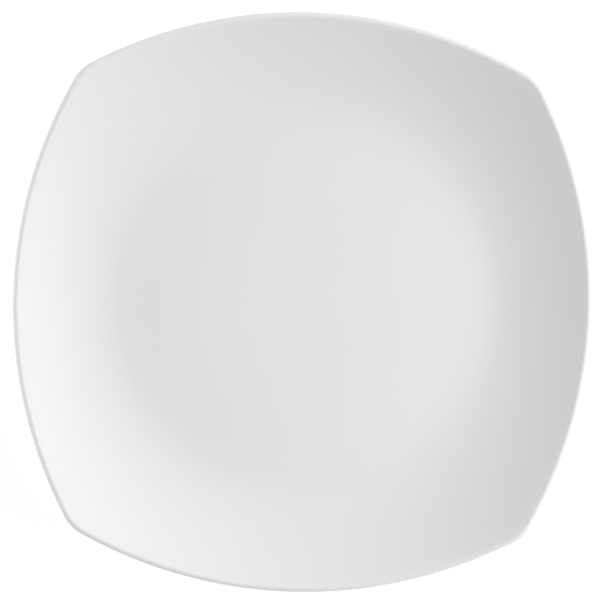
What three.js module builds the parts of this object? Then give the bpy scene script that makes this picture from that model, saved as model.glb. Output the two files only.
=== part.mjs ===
// Square salad plate in glazed porcelain: a round well opens into a rim with bowed sides and lifted corners.
// Millimetres, +Z up. The origin is on the table under the middle of the plate, and the sides face X and Y.
// One pressed body carries three coats of glaze: on the face and lip, on the back, and inside the foot ring.

import * as THREE from "three";
import { mergeVertices } from "three/addons/utils/BufferGeometryUtils.js";

// Outline in plan, over the glaze
const PLATE_WIDTH = 216; // from the middle of one side to the middle of the opposite side
const SIDE_BOW_RADIUS = 166; // each side is one long arc
const CORNER_RADIUS = 17;

// Heights above the table, over the glaze
const SIDE_HEIGHT = 20.5; // top of the lip at the middle of a side
const CORNER_HEIGHT = 25.4; // top of the lip at a corner

// Well
const WELL_DIAMETER = 138; // the lowest ring of the face, where the floor turns up into the wall
const WELL_EASE = 14.4; // at mid-side, from that ring out to where the floor and wall lines would meet
const FLOOR_CROWN = 1.8; // the middle of the floor stands this much above its lowest ring
const CROWN_POWER = 4; // a higher power keeps the middle of the floor flatter

// Thickness of the fired body and of the coats on it
const WELL_THICKNESS = 4.4;
const LIP_THICKNESS = 2.4;
const GLAZE_THICKNESS = 0.3;

// Foot ring
const FOOT_HEIGHT = 2.6; // from the table up to the body at the well's lowest ring
const FOOT_INSET = 2.4; // from the well's lowest ring in to the root of the foot's outer flank
const FOOT_WIDTH = 4; // across the bottom, between the corners that its rounded edges replace
const FOOT_DRAFT = THREE.MathUtils.degToRad(25); // lean of both flanks, so that the plate leaves its mould
const FOOT_EDGE_RADIUS = 1.2; // the glaze is wiped off up to where this rounding ends
const FOOT_ROOT_RADIUS = 1.6;

// Finish
const GLAZE_COLOUR = 0xf3f4f3;
const GLAZE_ROUGHNESS = 0.12;
const BARE_COLOUR = 0xe9e4d8;
const BARE_ROUGHNESS = 0.75;

// How finely the curves are divided
const SIDE_STEPS = 10; // along one bowed side
const CORNER_STEPS = 4; // round one corner
const FLOOR_STEPS = 4;
const WALL_STEPS = 7;
const LIP_STEPS = 6;
const FILLET_STEPS = 2;

// Sizes that follow from those above
const QUARTERS = 4;
const WELL_RADIUS = WELL_DIAMETER / 2;
const LIP_RADIUS = LIP_THICKNESS / 2;
const LIP_REACH = GLAZE_THICKNESS + LIP_RADIUS; // from the middle of the lip's round to its glazed surface
const MID_HEIGHT = FOOT_HEIGHT + WELL_THICKNESS / 2; // middle of the body's thickness at the lowest ring
const SIDE_RUN = PLATE_WIDTH / 2 - LIP_REACH - WELL_RADIUS; // from the lowest ring out to the lip's middle
const SIDE_RISE = SIDE_HEIGHT - LIP_REACH - MID_HEIGHT; // and up to it
const STEEPENING = SIDE_RUN - 2 * WELL_EASE; // the wall's parabola, less its level start

// Centres of the outline's arcs: a side's lies on +X, and a corner's on the diagonal in line with it
const SIDE_CENTRE = new THREE.Vector2(PLATE_WIDTH / 2 - SIDE_BOW_RADIUS, 0);
const CORNER_CENTRE = new THREE.Vector2().setScalar(cornerCentreOffset());
const JOIN_TURN = CORNER_CENTRE.clone().sub(SIDE_CENTRE).angle(); // where a side's arc runs into a corner's

// The two arcs meet in line when their centres lie as far apart as their radii differ
function cornerCentreOffset() {
  const reach = SIDE_BOW_RADIUS - CORNER_RADIUS;
  const halfSetback = SIDE_CENTRE.x / 2;
  return halfSetback + Math.sqrt(reach ** 2 / 2 - halfSetback ** 2);
}

// Point on an arc at a turn from +X
function onArc(centre, radius, turn) {
  return new THREE.Vector2(Math.cos(turn), Math.sin(turn)).multiplyScalar(radius).add(centre);
}

// Points round the whole outline, with a point at each join, mid-side and corner
function outlinePoints() {
  const points = [];
  const origin = new THREE.Vector2();
  for (let quarter = 0; quarter < QUARTERS; quarter++) {
    const facing = (quarter / QUARTERS) * 2 * Math.PI;
    for (let step = 0; step < SIDE_STEPS; step++) {
      const turn = THREE.MathUtils.lerp(-JOIN_TURN, JOIN_TURN, step / SIDE_STEPS);
      points.push(onArc(SIDE_CENTRE, SIDE_BOW_RADIUS, turn).rotateAround(origin, facing));
    }
    for (let step = 0; step < CORNER_STEPS; step++) {
      const turn = THREE.MathUtils.lerp(JOIN_TURN, Math.PI / 2 - JOIN_TURN, step / CORNER_STEPS);
      points.push(onArc(CORNER_CENTRE, CORNER_RADIUS, turn).rotateAround(origin, facing));
    }
  }
  return points;
}

// Height of the middle of the floor's thickness: a low crown that is level at its top and at the lowest ring
function floorMid(radius) {
  return MID_HEIGHT + FLOOR_CROWN * (1 - (radius / WELL_RADIUS) ** CROWN_POWER) ** 2;
}

// A line with its inner corners rounded: each corner is a point and a radius
function roundedLine(start, corners, end) {
  const stops = [start, ...corners.map((corner) => corner.point), end];
  const line = [];
  corners.forEach(({ point, radius }, index) => {
    const back = stops[index].clone().sub(point);
    const ahead = stops[index + 2].clone().sub(point);
    const halfAngle = back.angleTo(ahead) / 2;
    const room = Math.min(back.length(), ahead.length()) / 2;
    const setback = Math.min(radius / Math.tan(halfAngle), room);
    const middle = back.clone().normalize().add(ahead.clone().normalize()).normalize();
    const centre = point.clone().addScaledVector(middle, setback / Math.cos(halfAngle));
    const first = point.clone().addScaledVector(back.normalize(), setback).sub(centre);
    const last = point.clone().addScaledVector(ahead.normalize(), setback).sub(centre);
    const swing = Math.atan2(first.cross(last), first.dot(last));
    for (let step = 0; step <= FILLET_STEPS; step++) {
      const spoke = first.clone().rotateAround(new THREE.Vector2(), (swing * step) / FILLET_STEPS);
      line.push(spoke.add(centre));
    }
  });
  return line;
}

// The foot ring's section, from the root of its outer flank to the root of its inner flank
function footLine() {
  const lean = FOOT_HEIGHT * Math.tan(FOOT_DRAFT);
  const outerRoot = WELL_RADIUS - FOOT_INSET;
  const outerEdge = outerRoot - lean;
  const innerEdge = outerEdge - FOOT_WIDTH;
  const innerRoot = innerEdge - lean;
  const underside = (radius) => new THREE.Vector2(radius, floorMid(radius) - WELL_THICKNESS / 2);
  const corners = [
    { point: underside(outerRoot), radius: FOOT_ROOT_RADIUS },
    { point: new THREE.Vector2(outerEdge, 0), radius: FOOT_EDGE_RADIUS },
    { point: new THREE.Vector2(innerEdge, 0), radius: FOOT_EDGE_RADIUS },
    { point: underside(innerRoot), radius: FOOT_ROOT_RADIUS },
  ];
  return roundedLine(underside(WELL_RADIUS), corners, underside(innerRoot - FOOT_WIDTH));
}

// The wall is a smooth bowl that the outline trims, so the corners reach further out and stand higher.
// Its mid-side curve is a parabola that leaves the lowest ring level. A point on it lies this far out and up,
// where share is 0 at the ring and 1 at the lip: 2 * WELL_EASE * share + STEEPENING * share ** 2 out, and
// SIDE_RISE * share ** 2 up. Between the sides the same curve is enlarged, most on the diagonals.
function shareAt(run) {
  return run / (WELL_EASE + Math.sqrt(WELL_EASE ** 2 + STEEPENING * run));
}

// Enlargement on the diagonals, chosen so that the wall comes up to the corners' height there
function cornerEnlargement() {
  const cornerRun = CORNER_CENTRE.length() + CORNER_RADIUS - LIP_REACH - WELL_RADIUS;
  const cornerRise = CORNER_HEIGHT - LIP_REACH - MID_HEIGHT;
  const steepness = cornerRise / SIDE_RISE;
  const share = (2 * WELL_EASE) / (cornerRun / steepness - STEEPENING);
  return steepness / share ** 2;
}

// The middle of the wall's thickness in one radial section, from the lowest ring to the middle of the lip
function wallMid(lipRadius, angle) {
  const towardsCorner = (1 - Math.cos(QUARTERS * angle)) / 2;
  const enlargement = THREE.MathUtils.lerp(1, cornerEnlargement(), towardsCorner);
  const share = shareAt((lipRadius - WELL_RADIUS) / enlargement);
  const lipHeight = MID_HEIGHT + enlargement * SIDE_RISE * share ** 2;
  const ring = new THREE.Vector2(WELL_RADIUS, MID_HEIGHT);
  const knuckle = new THREE.Vector2(WELL_RADIUS + enlargement * WELL_EASE * share, MID_HEIGHT);
  return new THREE.QuadraticBezierCurve(ring, knuckle, new THREE.Vector2(lipRadius, lipHeight));
}

// Left normal of a curve: up and inwards on the wall
function leftNormal(curve, along) {
  const tangent = curve.getTangent(along);
  return new THREE.Vector2(-tangent.y, tangent.x);
}

// The body's section in one radial half-plane, as (radius, height) points: from the axis over the face,
// round the lip, down the back, round the foot and back to the axis.
function bodySection(station) {
  const face = [];
  const back = [];
  for (let step = 0; step < FLOOR_STEPS; step++) {
    const radius = (WELL_RADIUS * step) / FLOOR_STEPS;
    face.push(new THREE.Vector2(radius, floorMid(radius) + WELL_THICKNESS / 2));
  }
  const wall = wallMid(station.length() - LIP_REACH, station.angle());
  for (let step = 0; step <= WALL_STEPS; step++) {
    const along = step / WALL_STEPS;
    const taper = THREE.MathUtils.smoothstep(along, 0, 1);
    const half = THREE.MathUtils.lerp(WELL_THICKNESS, LIP_THICKNESS, taper) / 2;
    const normal = leftNormal(wall, along);
    face.push(wall.getPoint(along).addScaledVector(normal, half));
    back.unshift(wall.getPoint(along).addScaledVector(normal, -half));
  }
  const lip = [];
  const lipStart = leftNormal(wall, 1).angle();
  for (let step = 1; step < LIP_STEPS; step++) {
    lip.push(onArc(wall.getPoint(1), LIP_RADIUS, lipStart - (Math.PI * step) / LIP_STEPS));
  }
  const foot = footLine();
  const recess = [];
  const recessStart = foot[foot.length - 1].x;
  for (let step = FLOOR_STEPS - 1; step >= 0; step--) {
    const radius = (recessStart * step) / FLOOR_STEPS;
    recess.push(new THREE.Vector2(radius, floorMid(radius) - WELL_THICKNESS / 2));
  }
  return { face, lip, back, foot, recess };
}

// Where each coat starts and ends along the section's points
function coatSpans({ face, lip, back, foot, recess }) {
  const lipEnd = face.length + lip.length;
  const footStart = lipEnd + back.length;
  const filletPoints = FILLET_STEPS + 1;
  const outerWipe = footStart + filletPoints;
  const innerWipe = outerWipe + 2 * filletPoints - 1;
  const last = footStart + foot.length + recess.length - 1;
  return { face: [0, lipEnd], back: [lipEnd, outerWipe], recess: [innerWipe, last] };
}

// The same point on the far side of the axis
function acrossAxis(point) {
  return new THREE.Vector2(-point.x, point.y);
}

// A coat's section over one span of the body's line: out along its glazed side, and back along the body
function coatSection(line, [first, last]) {
  const body = line.slice(first, last + 1);
  const glazed = body.map((point, index) => {
    const before = line[first + index - 1] ?? acrossAxis(line[1]);
    const after = line[first + index + 1] ?? acrossAxis(line.at(-2));
    const along = after.clone().sub(before).normalize();
    return new THREE.Vector2(-along.y, along.x).multiplyScalar(GLAZE_THICKNESS).add(point);
  });
  return [...glazed, ...body.reverse()];
}

// A closed skin over sections that stand round the axis at the outline's points.
// A section that starts and ends on the axis closes there, and any other closes on itself.
// Each four-sided cell is split along its shorter diagonal, so that two skins over one line lie face to face.
function loft(stations, sections) {
  const count = sections[0].length;
  const points = stations.flatMap((station, index) => {
    const out = station.clone().normalize();
    return sections[index].map(({ x, y }) => new THREE.Vector3(out.x * x, out.y * x, y));
  });
  const hasArea = (corners) => new THREE.Triangle().setFromPointsAndIndices(points, ...corners).getArea() > 0;
  const triangles = [];
  for (let index = 0; index < stations.length; index++) {
    const next = (index + 1) % stations.length;
    for (let place = 0; place < count; place++) {
      const after = (place + 1) % count;
      const [a, b] = [index * count + place, next * count + place];
      const [c, d] = [index * count + after, next * count + after];
      const firstIsShorter = points[b].distanceTo(points[c]) < points[a].distanceTo(points[d]);
      const halves = firstIsShorter ? [[a, c, b], [b, c, d]] : [[a, c, d], [a, d, b]];
      triangles.push(...halves.filter(hasArea));
    }
  }
  const geometry = new THREE.BufferGeometry().setFromPoints(points).setIndex(triangles.flat());
  const merged = mergeVertices(geometry);
  merged.computeVertexNormals();
  return merged;
}

function piece(name, geometry, color, roughness) {
  const material = new THREE.MeshStandardMaterial({ color, roughness, metalness: 0 });
  const mesh = new THREE.Mesh(geometry, material);
  mesh.name = name;
  return mesh;
}

const stations = outlinePoints();
const sections = stations.map(bodySection);
const lines = sections.map((section) => Object.values(section).flat());
const spans = coatSpans(sections[0]);

function coat(name, span) {
  const skin = loft(stations, lines.map((line) => coatSection(line, span)));
  return piece(name, skin, GLAZE_COLOUR, GLAZE_ROUGHNESS);
}

const plate = new THREE.Group();
plate.name = "square_salad_plate";
plate.add(piece("porcelain_body", loft(stations, lines), BARE_COLOUR, BARE_ROUGHNESS));
plate.add(coat("face_glaze", spans.face));
plate.add(coat("back_glaze", spans.back));
plate.add(coat("recess_glaze", spans.recess));

export default plate;
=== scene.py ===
# %% [markdown]
# # A square salad plate in glazed porcelain
#
# The real plate is one piece of clay. It is pressed to shape, fired hard, dipped in glaze and fired again.
# Only the foot ring is wiped clean of glaze, so that the plate doesn't stick to the kiln shelf. The lesson
# keeps that order: the bare body is shaped first, then its skin is lifted off and thickened into three
# coats of glaze.
#
# The plate was measured and engineered before, as a set of solids. They are loaded first, as a fixed frame
# that nothing here may move or resize, and every new piece is modelled in their place.

# %% Load the frame
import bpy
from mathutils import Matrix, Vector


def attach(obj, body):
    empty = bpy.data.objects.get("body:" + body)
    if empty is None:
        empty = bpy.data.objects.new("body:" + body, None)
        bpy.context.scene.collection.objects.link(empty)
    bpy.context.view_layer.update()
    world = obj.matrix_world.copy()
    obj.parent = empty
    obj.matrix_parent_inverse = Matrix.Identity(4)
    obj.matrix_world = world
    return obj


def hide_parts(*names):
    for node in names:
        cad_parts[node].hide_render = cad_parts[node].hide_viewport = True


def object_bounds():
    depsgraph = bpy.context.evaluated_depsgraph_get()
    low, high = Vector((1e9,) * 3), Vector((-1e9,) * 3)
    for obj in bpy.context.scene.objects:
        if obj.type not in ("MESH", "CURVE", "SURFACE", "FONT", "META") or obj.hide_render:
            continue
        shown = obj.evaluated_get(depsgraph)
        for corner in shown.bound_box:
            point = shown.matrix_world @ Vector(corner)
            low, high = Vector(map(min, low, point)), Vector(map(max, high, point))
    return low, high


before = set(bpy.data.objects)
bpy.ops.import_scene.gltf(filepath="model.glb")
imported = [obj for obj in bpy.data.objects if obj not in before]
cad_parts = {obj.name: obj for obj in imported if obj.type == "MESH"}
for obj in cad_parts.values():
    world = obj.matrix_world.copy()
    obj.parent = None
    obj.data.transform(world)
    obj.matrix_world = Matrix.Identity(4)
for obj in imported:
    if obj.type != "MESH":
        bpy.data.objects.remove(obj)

cad_low, cad_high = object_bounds()
print("Solids in the frame:", sorted(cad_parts))
print("Their box in metres:", [round(side, 4) for side in cad_high - cad_low])

# %% [markdown]
# ## Sizes
#
# Blender works in metres, while a plate is thought of in millimetres, so each size is a number of
# millimetres times MM. The width and the height come from the frame. The rest are the sizes that a potter
# would mark on the template: how much the sides bow, how wide the well is, how thick the clay is, and how
# the foot ring stands.

# %% Write down the sizes
import math

MM = 0.001

PLATE_WIDTH = cad_high.x - cad_low.x  # from the middle of one side to the middle of the opposite side
CORNER_HEIGHT = cad_high.z  # top of the lip at a corner
SIDE_HEIGHT = 20.5 * MM  # top of the lip at the middle of a side
SIDE_BOW_RADIUS = 166 * MM  # each side is one long arc
CORNER_RADIUS = 17 * MM

WELL_RADIUS = 69 * MM  # the lowest ring of the face, where the floor turns up into the wall
WELL_EASE = 14.4 * MM  # at mid-side, from that ring out to where the floor and wall lines would meet
FLOOR_CROWN = 1.8 * MM  # the middle of the floor stands this much above its lowest ring
CROWN_POWER = 4  # a higher power keeps the middle of the floor flatter

WELL_THICKNESS = 4.4 * MM
LIP_THICKNESS = 2.4 * MM
GLAZE_THICKNESS = 0.3 * MM

FOOT_HEIGHT = 2.6 * MM
FOOT_INSET = 2.4 * MM  # from the well's lowest ring in to the root of the foot's outer flank
FOOT_WIDTH = 4 * MM  # across the bottom, before its edges are rounded
FOOT_DRAFT = math.radians(25)  # lean of both flanks
FOOT_EDGE_RADIUS = 1.2 * MM
FOOT_ROOT_RADIUS = 1.6 * MM

LIP_RADIUS = LIP_THICKNESS / 2
LIP_REACH = LIP_RADIUS + GLAZE_THICKNESS  # from the middle of the lip's round to its glazed surface
MID_HEIGHT = FOOT_HEIGHT + WELL_THICKNESS / 2  # middle of the clay's thickness at the lowest ring
print(f"The plate is {PLATE_WIDTH / MM:.1f} mm wide and {CORNER_HEIGHT / MM:.1f} mm high at its corners")

# %% [markdown]
# ## The outline of the rim
#
# Seen from above, each side of the plate is one long, slightly bowed arc, and each corner is a short, tight
# arc that carries on from it in line. Two arcs meet in line when their centres lie as far apart as their
# radii differ, and that places the corner's centre on the diagonal.

# %% Place the centres of the arcs
from mathutils import Matrix, Vector

side_centre = Vector((PLATE_WIDTH / 2 - SIDE_BOW_RADIUS, 0))
half_setback = side_centre.x / 2
centre_gap = SIDE_BOW_RADIUS - CORNER_RADIUS
corner_offset = half_setback + math.sqrt(centre_gap ** 2 / 2 - half_setback ** 2)
corner_centre = Vector((corner_offset, corner_offset))
corner_reach = corner_centre.length + CORNER_RADIUS
join_turn = math.atan2(corner_offset, corner_offset - side_centre.x)  # where one arc becomes the other
print(f"A corner reaches {corner_reach / MM:.1f} mm out from the middle of the plate")

# %% [markdown]
# The outline is then divided into stations. A section of the plate will stand at each of them. Even steps
# all the way round would be simpler, but the tight corners need closer stations than the long sides do.

# %% Divide the outline into stations
QUARTERS = 4
SIDE_STEPS = 36
CORNER_STEPS = 14


def on_arc(centre, radius, turn):
    """Point on an arc, at a turn from the first axis."""
    return centre + radius * Vector((math.cos(turn), math.sin(turn)))


def mix(first, last, share):
    """Value that lies a share of the way from the first to the last."""
    return first + (last - first) * share


side_turns = [mix(-join_turn, join_turn, step / SIDE_STEPS) for step in range(SIDE_STEPS)]
corner_turns = [mix(join_turn, math.pi / 2 - join_turn, step / CORNER_STEPS)
                for step in range(CORNER_STEPS)]
quarter = [on_arc(side_centre, SIDE_BOW_RADIUS, turn) for turn in side_turns]
quarter += [on_arc(corner_centre, CORNER_RADIUS, turn) for turn in corner_turns]
facings = [Matrix.Rotation(math.tau * count / QUARTERS, 2) for count in range(QUARTERS)]
stations = [facing @ point for facing in facings for point in quarter]
print(len(stations), "stations stand round the outline")

# %% [markdown]
# ## The section of the plate
#
# Cut through its middle, the plate shows one line: a floor with a low crown, a lowest ring, a wall that
# sweeps up and out, a rounded lip, the back, the foot ring and the recess inside it. A potter's template is
# that line, and so is this one, as points of radius and height. The floor comes first. Its crown keeps it
# from sagging in the kiln. It is level at its top and again at the lowest ring, so it runs into the wall
# without a corner.

# %% Draw the floor
FLOOR_STEPS = 14


def floor_mid(radius):
    """Height of the middle of the floor's thickness."""
    return MID_HEIGHT + FLOOR_CROWN * (1 - (radius / WELL_RADIUS) ** CROWN_POWER) ** 2


floor_radii = [WELL_RADIUS * step / FLOOR_STEPS for step in range(FLOOR_STEPS)]
floor_line = [Vector((radius, floor_mid(radius) + WELL_THICKNESS / 2)) for radius in floor_radii]
print(f"The middle of the floor lies {floor_line[0].y / MM:.1f} mm above the table")

# %% [markdown]
# The wall is a smooth bowl that the outline trims. Its curve at mid-side is a parabola that leaves the
# lowest ring level. One could give the corners a curve of their own and blend the two, but then a crease
# tends to show down the diagonals. Here the same curve is enlarged towards the corners, which lifts them
# evenly. How much it is enlarged follows from the height of the corners.

# %% Work out the wall's curve
side_run = PLATE_WIDTH / 2 - LIP_REACH - WELL_RADIUS  # from the lowest ring out to the lip's middle
side_rise = SIDE_HEIGHT - LIP_REACH - MID_HEIGHT  # and up to it
steepening = side_run - 2 * WELL_EASE  # the parabola, less its level start
corner_run = corner_reach - LIP_REACH - WELL_RADIUS
steepness = (CORNER_HEIGHT - LIP_REACH - MID_HEIGHT) / side_rise
corner_share = 2 * WELL_EASE / (corner_run / steepness - steepening)
corner_enlargement = steepness / corner_share ** 2


def wall_curve(station):
    """Start, control point and end of the wall's middle line at a station."""
    reach = station.length - LIP_REACH
    towards_corner = (1 - math.cos(QUARTERS * math.atan2(station.y, station.x))) / 2
    enlargement = mix(1, corner_enlargement, towards_corner)
    run = (reach - WELL_RADIUS) / enlargement
    share = run / (WELL_EASE + math.sqrt(WELL_EASE ** 2 + steepening * run))
    ring = Vector((WELL_RADIUS, MID_HEIGHT))
    knuckle = ring + Vector((enlargement * WELL_EASE * share, 0))
    return ring, knuckle, Vector((reach, MID_HEIGHT + enlargement * side_rise * share ** 2))


print(f"Towards the corners the wall's curve is enlarged {corner_enlargement:.2f} times")

# %% [markdown]
# The clay thins from the well to the lip, so that the plate is light in the hand and strong where it
# stands. Half of the thickness goes to each side of the middle line, and the lip closes the two sides with
# a half round.

# %% Draw the wall and the lip
WALL_STEPS = 16
LIP_STEPS = 16


def ease(share):
    """The same share, but with a gentle start and end."""
    return share * share * (3 - 2 * share)


def wall_section(station):
    """Points of the wall's face, of the lip's round and of the wall's back at a station."""
    ring, knuckle, lip_middle = wall_curve(station)
    face, back = [], []
    for step in range(WALL_STEPS + 1):
        along = step / WALL_STEPS
        first, last = ring.lerp(knuckle, along), knuckle.lerp(lip_middle, along)
        ahead = (last - first).normalized()
        half = Vector((-ahead.y, ahead.x)) * mix(WELL_THICKNESS, LIP_THICKNESS, ease(along)) / 2
        face.append(first.lerp(last, along) + half)
        back.insert(0, first.lerp(last, along) - half)
    start = math.atan2(half.y, half.x)
    turns = [start - math.pi * step / LIP_STEPS for step in range(1, LIP_STEPS)]
    return face, [on_arc(lip_middle, LIP_RADIUS, turn) for turn in turns], back


lip_top = max(point.y for point in wall_section(stations[SIDE_STEPS // 2])[1])
print(f"At mid-side the clay of the lip reaches {lip_top / MM:.1f} mm above the table")

# %% [markdown]
# The foot ring lifts the plate off the table, and its lean lets the plate leave the mould. It is drawn with
# sharp corners for now. They could be drawn round, but a bevel on the mesh is quicker and just as true, so
# they are rounded later, as a potter would sponge them. Each flank gets a few extra points, because the
# glaze will end there in a soft, rounded edge.

# %% Draw the foot ring and the recess
FLANK_SHARES = (0.42, 0.5, 0.58, 0.65, 0.71)  # along a flank from its root, clear of both rounded ends
RECESS_STEPS = 12


def underside(radius):
    """Point of the clay's underside at a radius of the floor."""
    return Vector((radius, floor_mid(radius) - WELL_THICKNESS / 2))


lean = FOOT_HEIGHT * math.tan(FOOT_DRAFT)
outer_root = underside(WELL_RADIUS - FOOT_INSET)
outer_edge = Vector((outer_root.x - lean, 0))
inner_edge = Vector((outer_edge.x - FOOT_WIDTH, 0))
inner_root = underside(inner_edge.x - lean)
outer_flank = [outer_root.lerp(outer_edge, share) for share in FLANK_SHARES]
inner_flank = [inner_root.lerp(inner_edge, share) for share in reversed(FLANK_SHARES)]
foot_line = [outer_root, *outer_flank, outer_edge, inner_edge, *inner_flank, inner_root]
recess_line = [underside(inner_root.x * step / RECESS_STEPS) for step in reversed(range(RECESS_STEPS))]
print(f"The foot ring is {2 * outer_edge.x / MM:.0f} mm across")

# %% [markdown]
# ## Rings to model from
#
# The sections at all the stations have the same number of points. Points with the same place in the section
# make a ring round the plate, so the whole body is a stack of rings: from the middle of the face out to the
# lip, and under it back to the middle of the recess. The first and the last ring have shrunk to a single
# point. Some rings are needed again later, to find the lip and the foot, so their numbers are kept.

# %% Put the sections together


def body_section(station):
    """The whole line of the body at a station, from the axis over the lip and back to the axis."""
    face, lip, back = wall_section(station)
    return [*floor_line, *face, *lip, *back, *foot_line, *recess_line]


sections = [body_section(station) for station in stations]
LIP_START = FLOOR_STEPS + WALL_STEPS  # last ring of the face
LIP_END = LIP_START + LIP_STEPS + 1  # one ring down the back, past the lip's round
OUTER_ROOT = sections[0].index(outer_root)
OUTER_EDGE = sections[0].index(outer_edge)
INNER_EDGE = OUTER_EDGE + 1
INNER_ROOT = INNER_EDGE + len(inner_flank) + 1
LAST_RING = len(sections[0]) - 1
print(f"{LAST_RING + 1} rings; the lip ends at {LIP_END}, and {OUTER_EDGE} and {INNER_EDGE} edge the foot")

# %% [markdown]
# ## Shaping the body
#
# By hand, one would add a circle, extrude it, move the new ring into place, and go on like that round the
# whole section. The script does just that. A round plate could be spun from a single section instead, but
# here every station has a section of its own. So each point of the circle is marked with the number of its
# station, and a point that is extruded from it takes that mark over. A second mark holds the number of the
# ring.

# %% Add the first ring and mark its points
import bpy

RING_MARK, STATION_MARK = "ring", "station"
FIRST_RING = 1  # ring 0 is the point on the axis

directions = [station.normalized().to_3d() for station in stations]
first_radius = sections[0][FIRST_RING].x
bpy.ops.object.select_all(action="DESELECT")
bpy.ops.mesh.primitive_circle_add(vertices=len(stations), radius=first_radius)
body = bpy.context.object
body.name = "porcelain_biscuit"
body.data.attributes.new(RING_MARK, "INT", "POINT")
body.data.attributes.new(STATION_MARK, "INT", "POINT")
body.data.attributes[STATION_MARK].data.foreach_set("value", range(len(stations)))
for vert, direction in zip(body.data.vertices, directions):
    vert.co = direction * first_radius  # the circle is evenly divided, and the stations aren't
print("The first ring has", len(body.data.vertices), "points")

# %% [markdown]
# Two helpers do the handwork. One moves the points that were just extruded to their places on a ring. The
# other closes an open end: it extrudes the last ring once more, up or down, and merges the new points into
# one on the axis.

# %% Write the helpers that lay and close rings
import bmesh


def lay_ring(number):
    """Moves the selected points onto a ring of the plate, each to its place in its station's section."""
    mesh = bpy.context.object.data
    sheet = bmesh.from_edit_mesh(mesh)
    ring, station = sheet.verts.layers.int[RING_MARK], sheet.verts.layers.int[STATION_MARK]
    for vert in sheet.verts:
        if vert.select:
            radius, height = sections[vert[station]][number]
            vert.co = directions[vert[station]] * radius + Vector((0, 0, height))
            vert[ring] = number
    bmesh.update_edit_mesh(mesh)


def close_on_axis(number, from_number):
    """Extrudes the selected ring, merges the new one into a point and marks it."""
    rise = sections[0][number].y - sections[0][from_number].y
    bpy.ops.mesh.extrude_edges_move(TRANSFORM_OT_translate={"value": (0, 0, rise)})
    bpy.ops.mesh.merge(type="CENTER")
    sheet = bmesh.from_edit_mesh(bpy.context.object.data)
    ring = sheet.verts.layers.int[RING_MARK]
    for vert in sheet.verts:
        if vert.select:
            vert[ring] = number


print("A ring is laid through", len(directions), "directions")

# %% [markdown]
# Now the body grows ring by ring. When the last end is closed, the first ring is the only open edge left,
# so it is found by selecting what isn't closed. At the end all the faces are made to look outwards.

# %% Extrude the body ring by ring
bpy.ops.object.mode_set(mode="EDIT")
bpy.ops.mesh.select_all(action="SELECT")
lay_ring(FIRST_RING)
for number in range(FIRST_RING + 1, LAST_RING):
    bpy.ops.mesh.extrude_edges_move()
    lay_ring(number)
close_on_axis(LAST_RING, LAST_RING - 1)
bpy.ops.mesh.select_all(action="DESELECT")
bpy.ops.mesh.select_non_manifold()
close_on_axis(0, FIRST_RING)
bpy.ops.mesh.select_all(action="SELECT")
bpy.ops.mesh.normals_make_consistent(inside=False)
bpy.ops.object.mode_set(mode="OBJECT")
print("The body has", len(body.data.vertices), "points and", len(body.data.polygons), "faces")

# %% [markdown]
# ## Rounding the foot
#
# The foot ring's edges are rounded so that they don't chip, and its roots so that the clay doesn't crack
# there. A bevel does both. Its offset is measured from the corner along the faces, so it is worked out from
# the radius and from the angle of the flank.

# %% Bevel the foot's edges and roots
BEVEL_STEPS = 6

corner_angle = math.pi / 2 + FOOT_DRAFT  # between a flank and the land or the underside
bevels = (
    (FOOT_EDGE_RADIUS, (OUTER_EDGE, INNER_EDGE)),
    (FOOT_ROOT_RADIUS, (OUTER_ROOT, INNER_ROOT)),
)


def select_rings(numbers):
    """Selects the edges that run along the rings with these numbers."""
    mesh = bpy.context.object.data
    sheet = bmesh.from_edit_mesh(mesh)
    ring = sheet.verts.layers.int[RING_MARK]
    for edge in sheet.edges:
        first, last = (vert[ring] for vert in edge.verts)
        edge.select_set(first == last and first in numbers)
    sheet.select_flush_mode()
    bmesh.update_edit_mesh(mesh)


bpy.ops.object.mode_set(mode="EDIT")
bpy.ops.mesh.select_mode(type="EDGE")
for radius, rings in bevels:
    bpy.ops.mesh.select_all(action="DESELECT")
    select_rings(rings)
    setback = radius / math.tan(corner_angle / 2)
    bpy.ops.mesh.bevel(offset=setback, segments=BEVEL_STEPS, affect="EDGES")
    print(f"Rings {rings} rounded to {radius / MM:.1f} mm, {setback / MM:.2f} mm back from the corner")
bpy.ops.object.mode_set(mode="OBJECT")

# %% [markdown]
# ## Three coats of glaze
#
# The glaze follows the body everywhere but on the foot, where it is wiped away. So the coats are copies of
# the body's own skin: the face with the lip, the back down to the foot ring, and the recess inside the
# ring. One material over the whole body would be simpler, but it would give the glaze no thickness, and the
# step at the wiped line would be lost. The first helper cuts a copy down to one coat's skin.

# %% Write the helper that cuts out a coat
WIPED_HEIGHT = FOOT_EDGE_RADIUS / math.tan(corner_angle / 2) * math.cos(FOOT_DRAFT)


def keep_coat(first, last):
    """Deletes every face that doesn't lie between two rings and above the wiped line."""
    mesh = bpy.context.object.data
    sheet = bmesh.from_edit_mesh(mesh)
    mark = sheet.verts.layers.int[RING_MARK]
    for face in sheet.faces:
        ring = sum(vert[mark] for vert in face.verts) / len(face.verts)
        is_glazed = first < ring < last and face.calc_center_median().z > WIPED_HEIGHT
        face.select_set(not is_glazed)
    bmesh.update_edit_mesh(mesh)
    bpy.ops.mesh.delete(type="FACE")


print(f"The foot is wiped clean up to {WIPED_HEIGHT / MM:.2f} mm, where its rounded edge ends")

# %% [markdown]
# Melted glaze draws back into a rounded edge, so its thickness runs out in a curve at the wiped line. A
# vertex group steers that: the Solidify modifier, which makes the coat thick, multiplies the thickness by
# the group's weights.

# %% Write the helper that thins the edge of a coat
EDGE_RUN_OUT = 0.7 * MM  # height over which the glaze thins to its wiped edge
THINNEST_SHARE = 0.12  # of the full thickness, at that edge


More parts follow.
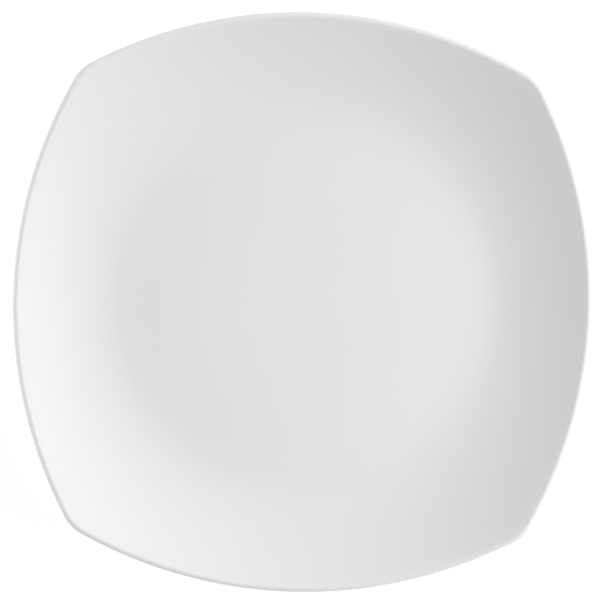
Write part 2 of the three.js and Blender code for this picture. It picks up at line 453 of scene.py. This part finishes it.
def thin_towards_wiped_edge(coat):
    """Weights each point of a coat by how much glaze is left there, and names the group."""
    group = coat.vertex_groups.new(name="glaze_depth")
    wiped = min(vert.co.z for vert in coat.data.vertices)
    for vert in coat.data.vertices:
        short = max(0, 1 - (vert.co.z - wiped) / EDGE_RUN_OUT)
        group.add([vert.index], math.sqrt(1 - short ** 2), "REPLACE")
    return group.name


print(f"The wiped edge is {GLAZE_THICKNESS * THINNEST_SHARE / MM:.3f} mm thin")

# %% [markdown]
# With these, each coat takes the steps that one would take by hand: duplicate the body, delete what isn't
# glazed, and thicken the rest outwards. The body and the coats are shaded smooth, apart from the sharp turn
# where a coat ends.

# %% Lift the coats off the body
SMOOTH_ANGLE = math.radians(40)


def select_only(piece):
    """Selects one piece, and makes it the one that operators act on."""
    bpy.ops.object.select_all(action="DESELECT")
    piece.select_set(True)
    bpy.context.view_layer.objects.active = piece


def lift_coat(name, first, last, is_wiped):
    """Makes one coat of glaze from the body's skin between two rings."""
    select_only(body)
    bpy.ops.object.duplicate()
    coat = bpy.context.object
    coat.name = name
    bpy.ops.object.mode_set(mode="EDIT")
    bpy.ops.mesh.select_mode(type="FACE")
    keep_coat(first, last)
    bpy.ops.object.mode_set(mode="OBJECT")
    bpy.ops.object.modifier_add(type="SOLIDIFY")
    solidify = coat.modifiers[-1]
    solidify.thickness = GLAZE_THICKNESS
    solidify.offset = 1
    if is_wiped:
        solidify.vertex_group = thin_towards_wiped_edge(coat)
        solidify.thickness_vertex_group = THINNEST_SHARE
    bpy.ops.object.modifier_apply(modifier=solidify.name)
    bpy.ops.object.shade_smooth_by_angle(angle=SMOOTH_ANGLE)
    print(name, "has", len(coat.data.polygons), "faces")
    return coat


face_coat = lift_coat("face_coat", 0, LIP_END, is_wiped=False)
back_coat = lift_coat("back_coat", LIP_END, OUTER_EDGE, is_wiped=True)
recess_coat = lift_coat("recess_coat", INNER_EDGE, LAST_RING, is_wiped=True)
select_only(body)
bpy.ops.object.shade_smooth_by_angle(angle=SMOOTH_ANGLE)

# %% [markdown]
# ## Tools for the materials
#
# A colour is written as it would be picked on a screen, as an sRGB hex value. One function turns it into
# the linear values that the shader works with. A second function adds a node, sets it up and links it, so
# that each material reads as a short list of its nodes.

# %% Write the helpers for materials
MIX_A, MIX_B, MIX_RESULT = 6, 7, 2  # colour sockets of a Mix node, by number, because names repeat there


def linear(hex_colour):
    """Linear RGBA of an sRGB hex colour, by the sRGB standard's curve."""
    shares = [int(hex_colour[place:place + 2], 16) / 255 for place in (1, 3, 5)]
    return (*(s / 12.92 if s <= 0.04045 else ((s + 0.055) / 1.055) ** 2.4 for s in shares), 1)


def add_node(tree, kind, settings=None, values=None, links=None):
    """Adds a node: its settings, the values of its free sockets, and the outputs linked into the others."""
    node = tree.nodes.new("ShaderNode" + kind)
    for name, value in (settings or {}).items():
        setattr(node, name, value)
    for name, value in (values or {}).items():
        node.inputs[name].default_value = value
    for name, source in (links or {}).items():
        tree.links.new(source, node.inputs[name])
    return node


def new_material(name):
    """A node material, its tree, and the shader that it ends in."""
    material = bpy.data.materials.new(name)
    material.use_nodes = True
    return material, material.node_tree, material.node_tree.nodes["Principled BSDF"]


print("Pure white is", linear("#ffffff"), "and a mid grey is", round(linear("#808080")[0], 3))

# %% [markdown]
# ## Glazed porcelain
#
# The glaze is a clear glass, melted over white clay. It gives the eye a clean white with a soft mirror on
# top. Glass has an IOR of about 1.5, and a fired gloss glaze a roughness of about 0.1. One flat white would
# look like plastic, because no glaze is perfectly even. It lies a trace thicker in some places than in
# others, and where it ran down to the foot it stands deeper and cooler.

# %% Colour the glaze
GLAZE_WHITE = "#eeeeee"
GLAZE_THICKER = "#ececec"
GLAZE_POOLED = "#dfe4e3"
GLAZE_IOR = 1.5
GLAZE_PATCH = 45 * MM  # across one place where it lies thicker
POOL_LOW, POOL_HIGH = 0.7 * MM, 3.2 * MM  # heights between which it runs together on the foot's flanks

glaze, tree, shader = new_material("clear_glaze_fired_on_white_porcelain")
place = add_node(tree, "TexCoord").outputs["Object"]
flow = add_node(tree, "TexNoise", values={"Scale": 1 / GLAZE_PATCH}, links={"Vector": place}).outputs[0]
coat = add_node(tree, "Mix", {"data_type": "RGBA"},
                {MIX_A: linear(GLAZE_WHITE), MIX_B: linear(GLAZE_THICKER)}, {0: flow}).outputs[MIX_RESULT]
height = add_node(tree, "SeparateXYZ", links={0: place}).outputs["Z"]
pool = add_node(tree, "MapRange", {"interpolation_type": "SMOOTHSTEP"},
                {"From Min": POOL_LOW, "From Max": POOL_HIGH, "To Min": 1, "To Max": 0},
                {"Value": height}).outputs[0]
colour = add_node(tree, "Mix", {"data_type": "RGBA"},
                  {MIX_B: linear(GLAZE_POOLED)}, {0: pool, MIX_A: coat}).outputs[MIX_RESULT]
shader.inputs["IOR"].default_value = GLAZE_IOR
tree.links.new(colour, shader.inputs["Base Color"])
print("The glaze goes from", GLAZE_WHITE, "to", GLAZE_POOLED, "where it pools")

# %% [markdown]
# Its surface waves by a few thousandths of a millimetre, like the skin of an orange, and fine wear from
# cutlery and washing makes the gloss vary. Such waves are far too shallow to model, so a bump and a map of
# the roughness give them.

# %% Give the glaze its gloss
PEEL_WIDTH = 8 * MM  # across one dimple of the orange peel
PEEL_DEPTH = 0.006 * MM
PEEL_DETAIL = 1  # how many finer layers of noise lie on top of the dimples
GLOSS_PATCH = 30 * MM
GLOSS_DETAIL = 3
GLOSS_RANGE = (0.07, 0.13)

patches = add_node(tree, "TexNoise", values={"Scale": 1 / GLOSS_PATCH, "Detail": GLOSS_DETAIL},
                   links={"Vector": place}).outputs[0]
gloss = add_node(tree, "MapRange", values={"To Min": GLOSS_RANGE[0], "To Max": GLOSS_RANGE[1]},
                 links={"Value": patches}).outputs[0]
peel = add_node(tree, "TexNoise", values={"Scale": 1 / PEEL_WIDTH, "Detail": PEEL_DETAIL},
                links={"Vector": place}).outputs[0]
waves = add_node(tree, "Bump", values={"Distance": PEEL_DEPTH}, links={"Height": peel}).outputs[0]
tree.links.new(gloss, shader.inputs["Roughness"])
tree.links.new(waves, shader.inputs["Normal"])
print(glaze.name, "has", len(tree.nodes), "nodes")

# %% [markdown]
# ## Bare porcelain
#
# Where the foot stands on the kiln shelf the clay is bare. Fired porcelain without glaze is a dry, faintly
# cream white. The potter rubs it smooth on a grindstone, which leaves fine rings, and every table it stood
# on leaves a little grey on its high spots. The grit is drawn a little coarser than it is, or it wouldn't
# show.

# %% Make the bare clay
CLAY_CREAM = "#e9e3d7"
CLAY_RUBBED = "#d6cfc2"
CLAY_IOR = 1.5
RUB_PATCH = 7 * MM
RUB_DETAIL = 4
DRYNESS_RANGE = (0.68, 0.85)
GRIT_WIDTH = 0.35 * MM
GRIT_DEPTH = 0.04 * MM
GRIND_PITCH = 0.6 * MM  # from one ring of the grindstone to the next
GRIND_WOBBLE = 1
WAVE_LENGTH = math.tau / 20  # of Blender's wave texture at a scale of 1

clay, tree, shader = new_material("bare_porcelain_ground_on_the_foot")
place = add_node(tree, "TexCoord").outputs["Object"]
rubbing = add_node(tree, "TexNoise", values={"Scale": 1 / RUB_PATCH, "Detail": RUB_DETAIL},
                   links={"Vector": place}).outputs[0]
colour = add_node(tree, "Mix", {"data_type": "RGBA"},
                  {MIX_A: linear(CLAY_CREAM), MIX_B: linear(CLAY_RUBBED)}, {0: rubbing}).outputs[MIX_RESULT]
dryness = add_node(tree, "MapRange", values={"To Min": DRYNESS_RANGE[0], "To Max": DRYNESS_RANGE[1]},
                   links={"Value": rubbing}).outputs[0]
grit = add_node(tree, "TexNoise", values={"Scale": 1 / GRIT_WIDTH}, links={"Vector": place}).outputs[0]
grooves = add_node(tree, "TexWave", {"wave_type": "RINGS", "rings_direction": "Z"},
                   {"Scale": WAVE_LENGTH / GRIND_PITCH, "Distortion": GRIND_WOBBLE},
                   {"Vector": place}).outputs["Fac"]
surface = add_node(tree, "Math", {"operation": "ADD"}, links={0: grit, 1: grooves}).outputs[0]
tooth = add_node(tree, "Bump", values={"Distance": GRIT_DEPTH}, links={"Height": surface}).outputs[0]
shader.inputs["IOR"].default_value = CLAY_IOR
tree.links.new(colour, shader.inputs["Base Color"])
tree.links.new(dryness, shader.inputs["Roughness"])
tree.links.new(tooth, shader.inputs["Normal"])
print(clay.name, "has", len(tree.nodes), "nodes")

# %% [markdown]
# ## Handing the pieces to the frame
#
# Each piece takes the place of the solid that it was modelled on, moves with the plate's only body, and
# is given one of the two materials made above.

# %% Finish and place the pieces
finishes = (
    (body, "porcelain_body", clay, "bare_porcelain"),
    (face_coat, "face_glaze", glaze, "clear_glaze"),
    (back_coat, "back_glaze", glaze, "clear_glaze"),
    (recess_coat, "recess_glaze", glaze, "clear_glaze"),
)
for piece, node, material, slot in finishes:
    piece.data.materials.clear()
    piece.data.materials.append(material)
    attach(piece, "root")
    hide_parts(node)
    print(piece.name, "stands for", node)

# %% [markdown]
# ## The floor
#
# The photograph has a pure white ground without any shadow. A plain white floor would show one, however
# soft the light. A light table doesn't: it is a sheet of white acrylic, lit from below, that sends out more
# light than falls on it. Under the plate the glow is weaker, as painted shade: it stands for the shadow
# that the plate would cast there, and keeps the light from flooding the plate's underside, so that its back
# and foot stand out from the ground. Seen from below the table is clear, so that the foot ring and the
# recess can be looked at too.

# %% Lay the light table
TABLE_SIZE = 6
TABLE_GAP = 0.05 * MM  # just under the foot, so that the two faces do not lie in one plane
ACRYLIC_TONE = "#949494"  # gives back about a third of the light that falls on it
ACRYLIC_ROUGHNESS, ACRYLIC_MIRROR = 1, 0  # fully matt
# The weaker glow under the plate is painted shade, where the plate would cast its shadow on the table.
OPEN_GLOW, PAINTED_SHADE_GLOW = 0.8, 0.4
SHADE_FADE_START, SHADE_FADE_END = 64 * MM, 108 * MM  # radii between which the glow rises to its full strength

bpy.ops.object.select_all(action="DESELECT")
bpy.ops.mesh.primitive_plane_add(size=TABLE_SIZE, location=(0, 0, -TABLE_GAP))
table = bpy.context.object
table.name = "floor"
acrylic, tree, shader = new_material("matt_white_acrylic_lit_from_below")
shader.inputs["Base Color"].default_value = linear(ACRYLIC_TONE)
shader.inputs["Roughness"].default_value = ACRYLIC_ROUGHNESS
shader.inputs["Specular IOR Level"].default_value = ACRYLIC_MIRROR
place = add_node(tree, "TexCoord").outputs["Object"]
radius = add_node(tree, "VectorMath", {"operation": "LENGTH"}, links={0: place}).outputs["Value"]
# Painted shade: the glow is weaker under the plate and rises to full strength beyond its edge.
glow = add_node(tree, "MapRange", {"interpolation_type": "SMOOTHSTEP"},
                {"From Min": SHADE_FADE_START, "From Max": SHADE_FADE_END,
                 "To Min": PAINTED_SHADE_GLOW, "To Max": OPEN_GLOW},
                {"Value": radius}).outputs[0]
tree.links.new(glow, shader.inputs["Emission Strength"])
from_below = add_node(tree, "NewGeometry").outputs["Backfacing"]
clear = add_node(tree, "BsdfTransparent").outputs[0]
either = add_node(tree, "MixShader", links={0: from_below, 1: shader.outputs[0], 2: clear}).outputs[0]
tree.links.new(either, tree.nodes["Material Output"].inputs["Surface"])
table.data.materials.append(acrylic)
print("The light table is", TABLE_SIZE, "m wide")

# %% [markdown]
# ## The camera
#
# The photograph looks almost straight down from about a metre away, from a little to the left and beyond
# the middle of the plate. A long lens keeps the sides of the plate nearly parallel.

# %% Hang the camera over the plate
CAMERA_PLACE = Vector((-45, 34, 1010)) * MM
CAMERA_TURN = [math.radians(angle) for angle in (-1.96, -2.47, 1.4)]  # about X, Y and Z
CAMERA_LENS = 160

bpy.ops.object.camera_add(location=CAMERA_PLACE, rotation=CAMERA_TURN)
camera = bpy.context.object
camera.data.lens = CAMERA_LENS
bpy.context.scene.camera = camera
print("The camera hangs", round(camera.location.z, 3), "m above the floor")

# %% [markdown]
# ## The light
#
# Glossy white things are photographed in a light tent, with white cloth all round that is lit from
# outside. There is no lamp with a sharp edge for the glaze to mirror, so the plate shows only slow changes
# from light to dark. A tent could be modelled and lit, but the world does the same with less noise. The
# cloth is evenly bright all over, and lamps behind it make three wide glows: a strong one low on the right,
# a weaker one on the left and a faint one high up beyond the plate. Each glow is strongest in one direction
# and fades evenly round it.

# %% Light the tent
CLOTH_BRIGHTNESS = 0.4
GLOW_TIGHTNESS = 6  # how fast a glow fades away from its direction
TENT_GLOWS = (  # azimuth from +X and elevation in degrees, strength
    (30, 0, 1.9),
    (180, 30, 0.5),
    (120, 60, 0.2),
)


def towards(azimuth, elevation):
    """Direction with an azimuth and an elevation in degrees."""
    turn, rise = math.radians(azimuth), math.radians(elevation)
    return Vector((math.cos(turn) * math.cos(rise), math.sin(turn) * math.cos(rise), math.sin(rise)))


scene = bpy.context.scene
scene.view_settings.view_transform = "Standard"  # keeps the white of the ground white
tent = bpy.data.worlds.new("light_tent")
scene.world = tent
tent.use_nodes = True
tree = tent.node_tree
background = tree.nodes["Background"]
gaze = add_node(tree, "TexCoord").outputs["Generated"]
brightness = add_node(tree, "Value").outputs[0]
brightness.default_value = CLOTH_BRIGHTNESS
for azimuth, elevation, strength in TENT_GLOWS:
    facing = add_node(tree, "VectorMath", {"operation": "DOT_PRODUCT"},
                      {1: towards(azimuth, elevation)}, {0: gaze}).outputs["Value"]
    falling = add_node(tree, "Math", {"operation": "MULTIPLY_ADD"},
                       {1: GLOW_TIGHTNESS, 2: -GLOW_TIGHTNESS}, {0: facing}).outputs[0]
    glow = add_node(tree, "Math", {"operation": "EXPONENT"}, links={0: falling}).outputs[0]
    brightness = add_node(tree, "Math", {"operation": "MULTIPLY_ADD"},
                          {1: strength}, {0: glow, 2: brightness}).outputs[0]
background.inputs["Color"].default_value = linear("#ffffff")
tree.links.new(brightness, background.inputs["Strength"])
print(len(TENT_GLOWS), "glows light the tent")

# %% [markdown]
# A softbox stands closer by on the right. Because it is near, its light falls off across the plate, as it
# does in the photograph, and it leaves the wall on the right in shade. The glaze in the photograph mirrors
# no lamp, because of the cloth between, so the softbox is hidden from reflections. A strip light will be
# needed too, so one function sets up either of them, facing the plate.

# %% Set up the softbox
BOX_AZIMUTH, BOX_ELEVATION = 0, 35
BOX_DISTANCE = 1.2
BOX_WIDTH = 0.9
BOX_WATTS = 8.3


def add_lamp(name, direction, location, watts):
    """Adds an area light that shines against a direction, and that the glaze doesn't mirror."""
    facing = direction.to_track_quat("Z", "Y").to_euler()
    bpy.ops.object.light_add(type="AREA", location=location, rotation=facing)
    lamp = bpy.context.object
    lamp.name = name
    lamp.data.energy = watts
    lamp.visible_glossy = False
    print(name, "gives", watts, "W")
    return lamp.data


direction = towards(BOX_AZIMUTH, BOX_ELEVATION)
softbox = add_lamp("softbox_right", direction, direction * BOX_DISTANCE, BOX_WATTS)
softbox.shape = "DISK"
softbox.size = BOX_WIDTH

# %% [markdown]
# In the photograph the lip is lighter on the left than the tent and the softbox make it, as if a white card
# lay on the table there. A low strip of light stands for the card. It stays below the rim, so it reaches
# the outside of the lip and nothing inside the plate.

# %% Lay a strip of light on the left
STRIP_AZIMUTH = 172
STRIP_DISTANCE = 0.3
STRIP_LENGTH = 0.2
STRIP_HEIGHT = 16 * MM
STRIP_LIFT = 10 * MM  # middle of the strip above the table
STRIP_WATTS = 0.18

direction = towards(STRIP_AZIMUTH, 0)
location = direction * STRIP_DISTANCE + Vector((0, 0, STRIP_LIFT))
strip = add_lamp("card_left", direction, location, STRIP_WATTS)
strip.shape = "RECTANGLE"
strip.size = STRIP_LENGTH
strip.size_y = STRIP_HEIGHT
